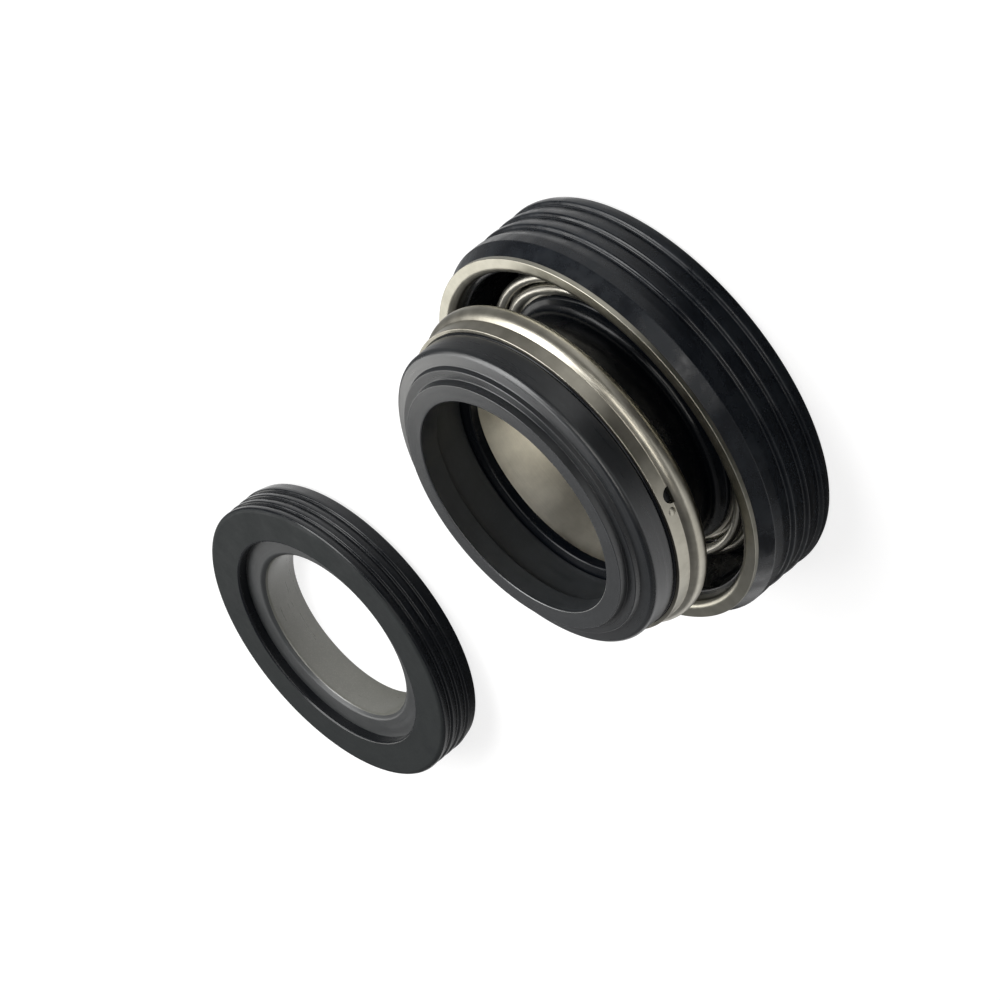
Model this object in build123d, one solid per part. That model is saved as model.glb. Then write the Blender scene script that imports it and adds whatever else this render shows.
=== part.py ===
from build123d import *
import os
from math import cos, pi, radians, sin, tan

# A mechanical shaft seal in millimetres: a spring-loaded sealing head and its loose mating seat.
# The head's axis is Z and its back face lies on Z = 0, so it stands on its back with the nose up.
# The seat stands beside it, lapped face down. Corners are (radius, height, rounding) in the XZ plane.

# The shaft that the seal is made for. All radii are worked out from it, from the inside outwards.
shaft_diameter = 20.0
shaft_gap = 1.2               # radial gap between shaft and head

# Pressed steel cup of the head
case_sheet = 0.7
case_height = 12.15           # back face to the middle of the sheet in the rim's lip
case_bend = 1.6               # middle radius of the bend between wall and floor
rim_bend = 0.5                # middle radius of the bend from wall to lip
lip_setback = 0.9             # the lip's edge stands inside the crests of the ribs
lip_droop = 0.15              # the lip slopes down outwards
collar_height = 5.0           # back face to the top of the inner collar
collar_bend = 0.9

# Rubber moulded round the cup
back_rubber = 0.8
bore_rubber = 0.6
wall_rubber = 1.8             # under the grooves between the ribs
liner_rubber = 0.6
liner_gap_to_rim = 1.4        # bare steel between the liner and the middle of the lip
rib_squeeze = 0.25            # radial interference of the ribs in the housing
rib_depth = 0.5
rib_land = 0.6
front_land = 1.5              # the front rib is wider
rib_pitch = 2.4
rib_count = 4
front_chamfer = 1.8           # height of the slope from the lip to the first crest
back_round = 0.9
key_hole_radius = 0.6         # holes in the floor that join the rubber on both sides
key_hole_count = 8

# Coil spring
wire = 1.3
spring_side_gap = 1.9         # liner to spring
spring_height = 5.55          # cup floor to the flange that the spring pushes
spring_crown = 1.6            # the widest turn stands this much above the end turn
spring_seat_gap = 0.02
turn_gap = 0.05               # between turns that lie on each other
closed_turns = 1.0
active_turns = 1.5
crown_turns = 1.0             # inward at the height of the crown
drop_turns = 0.25             # down past the edge of the flange
end_turns = 1.0
flange_clearance = 0.15       # wire to the edge of the flange
spiral_gap = 0.35             # between the widest turn and the one inside it
start_angle = 180.0           # where the wire ends on the floor
points_per_turn = 8

# Flared steel sleeve that carries the spring force to the ring
sleeve_sheet = 0.5
sleeve_length = 9.65
neck_gap = 0.9                # collar to the inside of the neck
sleeve_neck_height = 2.4
mouth_flare = 2.2             # the mouth is wider than the neck by this much
flange_width = 3.5
flange_bend = 0.5

# Nose ring of hard carbon
ring_overhang = 0.9           # the ring's bore is narrower than the sleeve's mouth
ring_width = 5.8
face_width = 2.3
ring_height = 7.4
nose_height = 1.0
second_step_height = 0.6
first_ledge = 1.4
ring_shoulder_height = 2.9    # cylinder between the shoulder and the rubber lip
counterbore_depth = 2.6       # face to the wider rear part of the bore
counterbore_step = 0.8
ring_corner = 0.7

# Rubber boot that grips the ring
lip_width = 1.4
web_thickness = 2.1
web_lift = 0.7                # web above the edge of the sleeve, which stays in view
lip_overhang = 0.7            # the web's lip stands inside the ring's bore
cone_rubber = 2.1             # at the mouth of the sleeve
neck_rubber = 1.1             # at the neck of the sleeve
skirt_setback = 0.35          # from the edge of the flange
skirt_height = 1.0

# Steel holder pressed over the boot
holder_sheet = 0.5
band_height = 1.9
bead_height = 2.65            # groove to the underside of the foot
bead_stand = 0.8              # bead stands out from the band
bead_slope = 0.6              # height of the slope from the groove to the bead
groove_round = 0.35
bead_round = 1.0
foot_gap = 0.25               # holder's foot to the rubber cone
notch_radius = 1.1
notch_angle = 241.0
notch_count = 2
lug_radius = 0.6              # lug pressed out beside each notch
lug_angle = 4.7               # from the middle of the notch
lug_lift = 0.75               # above the groove

# Hidden bellows between sleeve and collar, and the ring that clamps its tail
bellows_wall = 1.0
bellows_neck_wall = 0.8
bellows_grip = 2.3            # length inside the sleeve's neck
fold_to_spring = 0.7
fold_gap = 0.5                # below the flange
tail_height = 2.8
clamp_sheet = 0.6
clamp_height = 1.2
clamp_lift = 0.3

# Loose seat: a hard ring in a ribbed rubber boot
seat_bore_gap = 2.0
seat_ring_width = 6.3
seat_ring_height = 5.2
seat_chamfer = 0.5
seat_lip_cover = 3.2          # the lip reaches over the ring's back by this much
seat_lip_thickness = 1.3
seat_wall = 1.45
seat_rib_depth = 0.35
seat_rib_pitch = 1.35
seat_rib_land = 0.35
seat_rib_count = 4
seat_recess = 0.4             # lapped face stands below the rubber
seat_sideways = 1.6
unit_gap = 57.0               # between the head and the seat

# Radii that follow, from the shaft outwards
case_mid = case_sheet / 2
bore_radius = shaft_diameter / 2 + shaft_gap
collar_inner = bore_radius + bore_rubber
collar_outer = collar_inner + case_sheet
neck_radius = collar_outer + neck_gap
mouth_radius = neck_radius + mouth_flare
flange_radius = neck_radius + sleeve_sheet + flange_width
ring_bore = mouth_radius - ring_overhang
ring_radius = ring_bore + ring_width
boot_radius = ring_radius + 0.1
boot_groove_radius = boot_radius - lip_width
cone_radius = mouth_radius + sleeve_sheet + cone_rubber
band_middle = boot_radius + holder_sheet / 2
drop_radius = flange_radius + flange_clearance + wire / 2
end_turn_radius = drop_radius - wire - turn_gap
spring_radius = drop_radius + wire + spiral_gap
fold_radius = end_turn_radius - wire / 2 - fold_to_spring
liner_inner = spring_radius + wire / 2 + spring_side_gap
case_inner = liner_inner + liner_rubber
case_outer = case_inner + case_sheet
rib_root = case_outer + wall_rubber
rib_crest = rib_root + rib_depth
housing_bore = 2 * (rib_crest - rib_squeeze)
lip_radius = rib_crest - lip_setback

# Heights that follow, from the back face upwards
floor_top = back_rubber + case_sheet
lip_edge_height = case_height - lip_droop
rib_top = lip_edge_height - case_mid - front_chamfer
flange_under = floor_top + spring_height
flange_top = flange_under + sleeve_sheet
sleeve_top = flange_under + sleeve_length
ring_back = sleeve_top + web_thickness
free_height = ring_back + ring_height
lip_top = free_height - nose_height - second_step_height - ring_corner - ring_shoulder_height
groove_height = sleeve_top + bead_height - holder_sheet
band_front = groove_height + band_height

# Sizes of the seat that follow
seat_bore = shaft_diameter / 2 + seat_bore_gap
seat_ring_radius = seat_bore + seat_ring_width
seat_crest = seat_ring_radius + seat_wall + seat_rib_depth
seat_height = seat_ring_height + seat_lip_thickness
seat_place = Pos(seat_sideways, rib_crest + unit_gap + seat_crest)


def outline(*corners):
    """Face bounded by straight runs between corners, each corner rounded by its own radius."""
    edges, ends = [], []
    for index, (radius, height, rounding) in enumerate(corners):
        here = Vector(radius, 0, height)
        before = Vector(corners[index - 1][0], 0, corners[index - 1][1])
        following = corners[(index + 1) % len(corners)]
        back = (before - here).normalized()
        ahead = (Vector(following[0], 0, following[1]) - here).normalized()
        if rounding == 0:
            ends.append((here, here))
            continue
        half = radians(back.get_angle(ahead)) / 2
        start = here + back * (rounding / tan(half))
        end = here + ahead * (rounding / tan(half))
        centre = here + (back + ahead).normalized() * (rounding / sin(half))
        middle = centre + (here - centre).normalized() * rounding
        edges.append(ThreePointArc(start, middle, end))
        ends.append((start, end))
    for index, (_, end) in enumerate(ends):
        start = ends[(index + 1) % len(ends)][0]
        if (start - end).length > 0.0001:
            edges.append(Line(end, start))
    return Face(Wire(edges))


def turned(*corners):
    """Solid of revolution about Z from the outline through the corners."""
    return revolve(outline(*corners), axis=Axis.Z)


def pressed(thickness, *middle):
    """Pressed sheet of even thickness whose middle line runs through the corners."""
    half = thickness / 2
    points = [Vector(radius, 0, height) for radius, height, _ in middle]
    runs = [(after - before).normalized() for before, after in zip(points, points[1:])]
    sides = [Vector(-run.Z, 0, run.X) for run in runs]
    left, right = [], []
    for index, point in enumerate(points):
        first = sides[max(index - 1, 0)]
        second = sides[min(index, len(sides) - 1)]
        shift = (first + second) * (half / (1 + first.dot(second)))
        turn = first.X * second.Z - first.Z * second.X
        rounding = middle[index][2]
        grow = 0 if rounding == 0 else half if turn < 0 else -half
        left.append((point.X + shift.X, point.Z + shift.Z, rounding + grow))
        right.append((point.X - shift.X, point.Z - shift.Z, rounding - grow))
    return turned(*left, *reversed(right))


def ribs(crest, root, first_land, land, pitch, count, top):
    """Corners of saw-tooth ribs from the highest down: a short cylinder, then a slope to a groove."""
    corners = []
    for rib in range(count):
        width = land if rib else first_land
        corners.append((crest, top, 0.12))
        corners.append((crest, top - width, 0))
        top -= pitch + width - land
        if rib < count - 1:
            corners.append((root, top + (crest - root) / 2, 0.12))
    return corners


def case_cup():
    """Steel cup with a turned-out lip, a bent floor and a drawn collar round the shaft."""
    wall = case_outer - case_mid
    cup = pressed(
        case_sheet,
        (collar_inner + case_mid, collar_height, 0),
        (collar_inner + case_mid, back_rubber + case_mid, collar_bend),
        (wall, back_rubber + case_mid, case_bend),
        (wall, case_height, rim_bend),
        (lip_radius, lip_edge_height, 0),
    )
    key_circle = wall - case_bend - 1.5 * key_hole_radius
    hole = Cylinder(key_hole_radius, 4 * case_sheet)
    holes = PolarLocations(key_circle, key_hole_count)
    return cup - [place * Pos(Z=floor_top) * hole for place in holes]


def case_jacket(cup):
    """Rubber moulded over the cup: ribbed outside, flat back, lined bore and lined inner wall."""
    wall = case_outer - case_mid
    foot_radius = liner_inner - liner_rubber - case_sheet
    block = turned(
        (wall, case_height, rim_bend),
        (lip_radius - 0.2, lip_edge_height, 0),
        *ribs(rib_crest, rib_root, front_land, rib_land, rib_pitch, rib_count, rib_top),
        (rib_root, 0, back_round),
        (bore_radius, 0, 0),
        (bore_radius, collar_height, 0),
        (collar_inner + case_mid, collar_height, 0),
        (collar_inner + case_mid, back_rubber + case_mid, 0),
        (foot_radius, back_rubber + case_mid, 0),
        (foot_radius, floor_top + liner_rubber, 0.2),
        (liner_inner, floor_top + liner_rubber, 1.0),
        (liner_inner, case_height - liner_gap_to_rim, 0.25),
        (wall, case_height - liner_gap_to_rim, 0),
    )
    return block - cup


def coil_spring():
    """Closed turn on the floor, open turns up the wall, then inward and in under the flange."""
    low = floor_top + wire / 2 + spring_seat_gap
    end = flange_under - wire / 2 - spring_seat_gap
    crown = end + spring_crown
    stations = [
        (0, spring_radius, low),
        (closed_turns, spring_radius, low + wire + turn_gap),
        (active_turns, spring_radius, crown),
        (crown_turns / 2, spring_radius - 0.6 * (spring_radius - drop_radius), crown),
        (crown_turns / 2, drop_radius, crown),
        (drop_turns, drop_radius, end),
        (end_turns, end_turn_radius, end),
    ]
    points = []
    start = 0
    for (_, radius, height), (span, next_radius, next_height) in zip(stations, stations[1:]):
        count = max(round(span * points_per_turn), 1)
        for step in range(count):
            share = step / count
            angle = radians(start_angle) + 2 * pi * (start + span * share)
            ring = radius + (next_radius - radius) * share
            points.append((ring * cos(angle), ring * sin(angle), height + (next_height - height) * share))
        start += span
    angle = radians(start_angle) + 2 * pi * start
    points.append((next_radius * cos(angle), next_radius * sin(angle), next_height))
    path = Spline(*points)
    section = Plane(origin=path @ 0, z_dir=path % 0) * Circle(wire / 2)
    return sweep(section, path=path, is_frenet=True)


def drive_sleeve():
    """Flared sleeve: a mouth under the ring, a straight neck, and a flange for the spring."""
    middle = sleeve_sheet / 2
    return pressed(
        sleeve_sheet,
        (mouth_radius + middle, sleeve_top, 0),
        (neck_radius + middle, flange_under + sleeve_neck_height, 1.5),
        (neck_radius + middle, flange_under + middle, flange_bend),
        (flange_radius, flange_under + middle, 0),
    )


def ring_boot(sleeve):
    """Rubber boot: a cup round the ring, a web behind it and a cone with a skirt over the sleeve."""
    neck = neck_radius + sleeve_sheet
    mouth = mouth_radius + sleeve_sheet
    neck_top = flange_under + sleeve_neck_height
    block = turned(
        (boot_groove_radius, lip_top, 0.2),
        (boot_radius, lip_top, 0.35),
        (boot_radius, sleeve_top, 0.5),
        (cone_radius, sleeve_top, 0),
        (cone_radius, sleeve_top - holder_sheet, 0.3),
        (neck + neck_rubber, flange_top + skirt_height + 0.3, 1.2),
        (flange_radius - skirt_setback, flange_top + skirt_height - 0.3, 0.45),
        (flange_radius - skirt_setback, flange_top, 0.15),
        (neck - sleeve_sheet / 2, flange_top, 0),
        (neck - sleeve_sheet / 2, neck_top, 0),
        (mouth - sleeve_sheet / 2, sleeve_top, 0),
        (mouth + 0.1, sleeve_top - 0.22, 0),
        (mouth + 0.1, sleeve_top + web_lift, 0.2),
        (ring_bore - lip_overhang, sleeve_top + web_lift, 0.3),
        (ring_bore - lip_overhang, ring_back, 0.3),
        (boot_groove_radius, ring_back, 0),
    )
    return block - sleeve


def ring_holder():
    """Steel holder: a band, a groove, a rolled bead, a turned-in foot, notches and lugs."""
    bead_middle = band_middle + bead_stand
    foot = sleeve_top - holder_sheet / 2
    holder = pressed(
        holder_sheet,
        (band_middle, band_front, 0),
        (band_middle, groove_height, groove_round),
        (bead_middle, groove_height - bead_slope, bead_round),
        (bead_middle, foot, bead_round),
        (cone_radius + foot_gap, foot, 0),
    )
    cutter = Rot(Y=90) * Cylinder(notch_radius, 4 * holder_sheet)
    half_space = Pos(Z=notch_radius) * Box(4 * notch_radius, 4 * notch_radius, 2 * notch_radius)
    notch = Pos(band_middle, 0, groove_height) * (cutter & half_space)
    ball = Pos(band_middle - 0.1, 0, groove_height + lug_lift) * Sphere(lug_radius)
    lug = Rot(Z=-lug_angle) * (ball - Cylinder(band_middle, 4 * free_height))
    turns = [Rot(Z=notch_angle + 360 * index / notch_count) for index in range(notch_count)]
    return holder - [turn * notch for turn in turns] + [turn * lug for turn in turns]


def seal_ring():
    """Nose ring: a narrow lapped face, two steps down to the shoulder and a stepped bore."""
    first = ring_bore + face_width
    ledge = free_height - nose_height
    second = ledge - second_step_height
    return turned(
        (ring_bore, free_height, 0.12),
        (first, free_height, 0.05),
        (first + 0.15, ledge, 0.1),
        (first + first_ledge, ledge, 0.1),
        (first + first_ledge + 0.2, second, 0.1),
        (ring_radius, second - ring_corner / 2, ring_corner),
        (ring_radius, lip_top, 0.15),
        (boot_groove_radius, lip_top, 0),
        (boot_groove_radius, ring_back, 0),
        (ring_bore + counterbore_step, ring_back, 0.3),
        (ring_bore + counterbore_step, free_height - counterbore_depth - counterbore_step / 2, 0),
        (ring_bore, free_height - counterbore_depth, 0),
    )


def inner_bellows():
    """Rubber bellows: a collar inside the sleeve's neck, one fold and a tail on the cup's collar."""
    tail = collar_outer + bellows_wall
    tail_top = floor_top + tail_height
    fold_top = flange_under - fold_gap
    fold_low = tail_top + 0.5
    neck = neck_radius - bellows_neck_wall
    return turned(
        (collar_outer, floor_top + collar_bend, 0),
        (tail, floor_top + collar_bend, 0),
        (tail, tail_top, 0.3),
        (fold_radius, fold_low, 0.5),
        (fold_radius, fold_top, 0.5),
        (neck_radius, fold_top, 0.2),
        (neck_radius, flange_under + bellows_grip, 0),
        (neck, flange_under + bellows_grip, 0.3),
        (neck, fold_top - bellows_wall, 0.2),
        (fold_radius - bellows_wall, fold_top - bellows_wall, 0.1),
        (fold_radius - bellows_wall, fold_low + 0.35, 0.1),
        (collar_outer, tail_top + 0.4, 0),
    )


def tail_clamp():
    """Steel ring that clamps the bellows' tail on the cup's collar."""
    inside = collar_outer + bellows_wall
    low = floor_top + collar_bend + clamp_lift
    return turned(
        (inside, low, 0),
        (inside + clamp_sheet, low, 0.12),
        (inside + clamp_sheet, low + clamp_height, 0.12),
        (inside, low + clamp_height, 0),
    )


def seat_ring():
    """Hard mating ring with its lapped face down and a chamfered bore at the back."""
    return seat_place * turned(
        (seat_bore, 0, 0),
        (seat_ring_radius, 0, 0.2),
        (seat_ring_radius, seat_ring_height, 0.2),
        (seat_bore + seat_chamfer, seat_ring_height, 0),
        (seat_bore, seat_ring_height - seat_chamfer, 0),
    )


def seat_boot(ring):
    """Ribbed rubber boot round the mating ring, with a flat back and an inward lip."""
    root = seat_crest - seat_rib_depth
    rib_top = seat_height - seat_rib_depth
    land = seat_rib_land
    seat_ribs = ribs(seat_crest, root, land, land, seat_rib_pitch, seat_rib_count, rib_top)
    block = seat_place * turned(
        (seat_ring_radius - seat_wall, seat_recess, 0),
        (root, seat_recess, 0.3),
        *reversed(seat_ribs),
        (root, seat_height, 0.15),
        (seat_ring_radius - seat_lip_cover, seat_height, 0.3),
        (seat_ring_radius - seat_lip_cover, seat_ring_height, 0),
        (seat_ring_radius - seat_wall, seat_ring_height, 0),
    )
    return block - ring


cup = case_cup()
sleeve = drive_sleeve()
mating_ring = seat_ring()
pieces = {
    "case_cup": cup,
    "case_jacket": case_jacket(cup),
    "coil_spring": coil_spring(),
    "drive_sleeve": sleeve,
    "ring_boot": ring_boot(sleeve),
    "ring_holder": ring_holder(),
    "seal_ring": seal_ring(),
    "inner_bellows": inner_bellows(),
    "tail_clamp": tail_clamp(),
    "seat_ring": mating_ring,
    "seat_boot": seat_boot(mating_ring),
}
os.makedirs("parts", exist_ok=True)
for name, piece in pieces.items():
    export_step(piece, f"parts/{name}.step")
print(f"free height {free_height:.2f} mm, housing bore {housing_bore:.2f} mm, spring radius {spring_radius:.2f} mm")
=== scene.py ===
import math

import bmesh
import bpy
from bpy.props import FloatProperty, FloatVectorProperty, IntProperty, PointerProperty
from mathutils import Matrix, Vector


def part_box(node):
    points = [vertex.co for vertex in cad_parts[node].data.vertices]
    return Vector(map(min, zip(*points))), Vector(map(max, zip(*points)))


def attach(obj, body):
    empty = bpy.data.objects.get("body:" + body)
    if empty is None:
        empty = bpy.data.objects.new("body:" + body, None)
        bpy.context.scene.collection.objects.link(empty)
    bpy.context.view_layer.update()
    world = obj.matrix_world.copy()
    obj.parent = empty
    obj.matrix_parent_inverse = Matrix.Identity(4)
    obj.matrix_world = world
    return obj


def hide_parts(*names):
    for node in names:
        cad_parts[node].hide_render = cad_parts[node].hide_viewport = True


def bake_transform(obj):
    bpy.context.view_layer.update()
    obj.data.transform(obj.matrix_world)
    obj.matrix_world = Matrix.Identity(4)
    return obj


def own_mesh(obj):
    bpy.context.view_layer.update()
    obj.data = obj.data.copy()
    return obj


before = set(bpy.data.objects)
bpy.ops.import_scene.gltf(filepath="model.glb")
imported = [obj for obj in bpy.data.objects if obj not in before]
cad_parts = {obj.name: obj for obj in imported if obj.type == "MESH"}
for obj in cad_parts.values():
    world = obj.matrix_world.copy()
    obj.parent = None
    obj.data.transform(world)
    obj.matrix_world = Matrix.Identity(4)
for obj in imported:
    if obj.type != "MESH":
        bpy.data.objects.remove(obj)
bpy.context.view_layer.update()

bl_info = {
    "name": "Mechanical shaft seal",
    "version": (1, 0, 0),
    "blender": (4, 5, 0),
    "location": "3D View > Sidebar > Shaft seal",
    "description": "Builds the pieces of a pump's shaft seal and its studio",
    "category": "Object",
}

MM = 0.001

ARC_STEP = 9.0  # most degrees that a profile's arc turns by from one point to the next
SUPPORT = 0.06  # millimetres from a straight run's end to the point that keeps its shading flat
SHARP = math.radians(32)  # an edge that turns by more than this is shaded sharp
SHEET_EDGE = 0.08  # millimetres of rounding on the cut edges of pressed sheet
LINING = 0.6  # millimetres of rubber inside the case's bore and wall and on its floor
NOISE_SPAN = (0.3, 0.7)  # where most values of a noise lie


# Colours and nodes

def linear(hex_colour):
    """An sRGB hex value as the linear colour that the shaders work in."""
    parts = [int(hex_colour[i:i + 2], 16) / 255 for i in (1, 3, 5)]
    return [p / 12.92 if p <= 0.04045 else ((p + 0.055) / 1.055) ** 2.4 for p in parts] + [1.0]


def panel_rubber():
    """The panel's rubber colour as the sRGB hex value that the materials take."""
    colour = bpy.context.scene.seal_colours.rubber
    parts = [12.92 * c if c <= 0.0031308 else 1.055 * c ** (1 / 2.4) - 0.055 for c in colour[:3]]
    return "#" + "".join(f"{round(min(max(p, 0), 1) * 255):02X}" for p in parts)


def add(tree, kind, place, settings=None, links=None):
    """One node with its settings and its links: {input: (node, output) or value}."""
    node = tree.nodes.new(kind)
    node.location = (place[0] * 190, -place[1] * 190)
    for key, value in (settings or {}).items():
        setattr(node, key, value)
    for key, value in (links or {}).items():
        if isinstance(value, tuple) and hasattr(value[0], "outputs"):
            tree.links.new(value[0].outputs[value[1]], node.inputs[key])
        else:
            node.inputs[key].default_value = value
    return node


def fresh_tree(owner):
    """The emptied node tree of a material or a world."""
    owner.use_nodes = True
    owner.node_tree.nodes.clear()
    return owner.node_tree


def figure(tree, place, operation, *values):
    """A math node over numbers or (node, output) pairs."""
    return add(tree, "ShaderNodeMath", place, {"operation": operation}, dict(enumerate(values)))


def upward(tree, place, height):
    """A vector along Z."""
    return add(tree, "ShaderNodeCombineXYZ", place, {}, {"Z": height})


def noise(tree, place, vector, scale, detail, rough=0.5):
    """Noise whose largest features, in Object coordinates, are 1 / scale metres wide."""
    return add(tree, "ShaderNodeTexNoise", place, {},
               {"Vector": vector, "Scale": scale, "Detail": detail, "Roughness": rough})


def cells(tree, place, vector, scale):
    """Scattered cells, 1 / scale metres wide in Object coordinates."""
    return add(tree, "ShaderNodeTexVoronoi", place, {}, {"Vector": vector, "Scale": scale})


def ramp(tree, place, factor, *stops):
    """A colour ramp through (position, colour) stops."""
    node = add(tree, "ShaderNodeValToRGB", place, {}, {"Fac": factor})
    elements = node.color_ramp.elements
    while len(elements) > 1:
        elements.remove(elements[-1])
    elements[0].position, elements[0].color = stops[0]
    for position, colour in stops[1:]:
        elements.new(position).color = colour
    return node


def mixed(tree, place, kind, share, first, second):
    """Two colours mixed."""
    return add(tree, "ShaderNodeMix", place, {"data_type": "RGBA", "blend_type": kind},
               {0: share, 6: first, 7: second})


def mapped(tree, place, value, span, low, high, curve="LINEAR"):
    """A value that runs from low to high while its source crosses the span."""
    return add(tree, "ShaderNodeMapRange", place, {"interpolation_type": curve},
               {"Value": value, "From Min": span[0], "From Max": span[1], "To Min": low, "To Max": high})


def bump(tree, place, strength, depth, height, under=None):
    """A bump of a depth in metres, laid over the bump under it."""
    links = {"Strength": strength, "Distance": depth, "Height": (height, 0)}
    if under:
        links["Normal"] = (under, 0)
    return add(tree, "ShaderNodeBump", place, {}, links)


# Profiles

def rounded(corners):
    """Closed profile through (radius, height, rounding) corners in millimetres.

    Returns (points, index of the corner that each point's run starts from)."""
    points, owner = [], []
    count = len(corners)
    arcs = []
    for index in range(count):
        here = Vector(corners[index][:2])
        back = (Vector(corners[index - 1][:2]) - here).normalized()
        ahead = (Vector(corners[(index + 1) % count][:2]) - here).normalized()
        radius = corners[index][2]
        if radius <= 0:
            arcs.append([here])
            continue
        half = back.angle(ahead) / 2
        start = here + back * (radius / math.tan(half))
        centre = here + (back + ahead).normalized() * (radius / math.sin(half))
        sweep = math.pi - 2 * half
        sign = 1 if back.x * ahead.y - back.y * ahead.x < 0 else -1
        pieces = max(math.ceil(math.degrees(sweep) / ARC_STEP), 2)
        arm = start - centre
        arcs.append([centre + Matrix.Rotation(sign * sweep * k / pieces, 2) @ arm for k in range(pieces + 1)])
    for index, arc in enumerate(arcs):
        following = arcs[(index + 1) % count][0]
        points += arc
        owner += [index] * len(arc)
        run = following - arc[-1]
        if run.length > 5 * SUPPORT:
            nudge = run.normalized() * SUPPORT
            points += [arc[-1] + nudge, following - nudge]
            owner += [index, index]
        elif run.length < 0.0005:
            points.pop()
            owner.pop()
    return points, owner


def pressed(thickness, *middle):
    """Corners of a pressed sheet of even thickness whose middle line runs through the given corners."""
    half = thickness / 2
    points = [Vector(corner[:2]) for corner in middle]
    runs = [(b - a).normalized() for a, b in zip(points, points[1:])]
    left, right = [], []
    for index, point in enumerate(points):
        first = runs[max(index - 1, 0)]
        second = runs[min(index, len(runs) - 1)]
        sides = Vector((-first.y, first.x)), Vector((-second.y, second.x))
        shift = (sides[0] + sides[1]) * (half / (1 + sides[0].dot(sides[1])))
        turn = first.x * second.y - first.y * second.x
        rounding = middle[index][2]
        grow = 0 if rounding == 0 else half if turn < 0 else -half
        edge = SHEET_EDGE if index in (0, len(points) - 1) else 0
        left.append((*(point + shift), rounding + grow or edge))
        right.append((*(point - shift), rounding - grow or edge))
    return left + right[::-1]


def ribs(crest, root, first_land, land, pitch, count, top, soft):
    """Corners of saw-tooth ribs from the highest down: a short cylinder, then a slope to a groove.

    `soft` holds the roundings of a rib's upper edge, of its lower edge and of the groove."""
    corners = []
    for rib in range(count):
        width = land if rib else first_land
        corners += [(crest, top, soft[0]), (crest, top - width, soft[1])]
        top -= pitch + width - land
        if rib < count - 1:
            corners.append((root, top + (crest - root) / 2, soft[2]))
    return corners


# Meshes

def turned(name, corners, materials, centre=(0, 0), segments=360, paint=None):
    """Turns a closed profile in millimetres round the Z axis.

    `paint` maps a corner's index to the material of the run that starts there."""
    points, owner = rounded(corners)
    area = sum(a.x * b.y - b.x * a.y for a, b in zip(points, points[1:] + points[:1]))
    if area < 0:
        points, owner = points[::-1], owner[::-1][1:] + owner[-1:]
    build = bmesh.new()
    rings = []
    for point in points:
        ring = []
        for k in range(segments):
            angle = 2 * math.pi * k / segments
            x = point.x * math.cos(angle) + centre[0]
            y = point.x * math.sin(angle) + centre[1]
            ring.append(build.verts.new((x * MM, y * MM, point.y * MM)))
        rings.append(ring)
    for index, ring in enumerate(rings):
        other = rings[(index + 1) % len(rings)]
        for k in range(segments):
            n = (k + 1) % segments
            face = build.faces.new((ring[k], ring[n], other[n], other[k]))
            face.material_index = (paint or {}).get(owner[index], 0)
            face.smooth = True
    bmesh.ops.recalc_face_normals(build, faces=build.faces)
    mesh = bpy.data.meshes.new(name)
    build.to_mesh(mesh)
    build.free()
    mesh.set_sharp_from_angle(angle=SHARP)
    for material in materials:
        mesh.materials.append(material)
    piece = bpy.data.objects.new(name, mesh)
    bpy.context.scene.collection.objects.link(piece)
    return piece


def hand_over(piece, body, node):
    """Hands a piece to its body in place of a CAD node."""
    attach(piece, body)
    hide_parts(node)


def settle(piece):
    """Turns a piece's modifiers into plain mesh."""
    graph = bpy.context.evaluated_depsgraph_get()
    mesh = bpy.data.meshes.new_from_object(piece.evaluated_get(graph))
    for modifier in list(piece.modifiers):
        piece.modifiers.remove(modifier)
    piece.data = mesh
    for face in mesh.polygons:
        face.use_smooth = True
    mesh.set_sharp_from_angle(angle=SHARP)


# Materials

def round_the_axis(tree, centre, stretch, spread):
    """A pattern vector that runs round the axis: streaks are long round it and fine across it."""
    coordinates = add(tree, "ShaderNodeTexCoord", (-9, 0))
    moved = add(tree, "ShaderNodeMapping", (-8, 0), {},
                {"Vector": (coordinates, "Object"), "Location": (-centre[0] * MM, -centre[1] * MM, 0)})
    parts = add(tree, "ShaderNodeSeparateXYZ", (-7, 0), {}, {"Vector": (moved, 0)})
    flat = add(tree, "ShaderNodeCombineXYZ", (-6, 1), {}, {"X": (parts, "X"), "Y": (parts, "Y")})
    length = add(tree, "ShaderNodeVectorMath", (-5, 1), {"operation": "LENGTH"}, {0: (flat, 0)})
    unit = add(tree, "ShaderNodeVectorMath", (-5, 2), {"operation": "NORMALIZE"}, {0: (flat, 0)})
    long_way = add(tree, "ShaderNodeVectorMath", (-4, 2), {"operation": "SCALE"},
                   {0: (unit, 0), "Scale": stretch})
    # the factor gives a slope of 45 degrees its lines too
    both = figure(tree, (-4, 1), "MULTIPLY_ADD", (parts, "Z"), 1.37, (length, "Value"))
    fine = figure(tree, (-3, 1), "MULTIPLY", (both, 0), spread)
    lift = upward(tree, (-2, 1), (fine, 0))
    vector = add(tree, "ShaderNodeVectorMath", (-1, 1), {"operation": "ADD"},
                 {0: (long_way, 0), 1: (lift, 0)})
    return (coordinates, "Object"), (vector, 0)


def shader(name):
    """A new material, its tree and its principled shader."""
    material = bpy.data.materials.new(name)
    tree = fresh_tree(material)
    surface = add(tree, "ShaderNodeBsdfPrincipled", (6, 0))
    add(tree, "ShaderNodeOutputMaterial", (8, 0), {}, {"Surface": (surface, 0)})
    return material, tree, surface


def coat(tree, surface, colour, rough, normal):
    """Links the colour, the roughness and the normal of a shader."""
    tree.links.new(colour, surface.inputs["Base Color"])
    tree.links.new(rough.outputs[0], surface.inputs["Roughness"])
    tree.links.new(normal.outputs[0], surface.inputs["Normal"])


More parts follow.
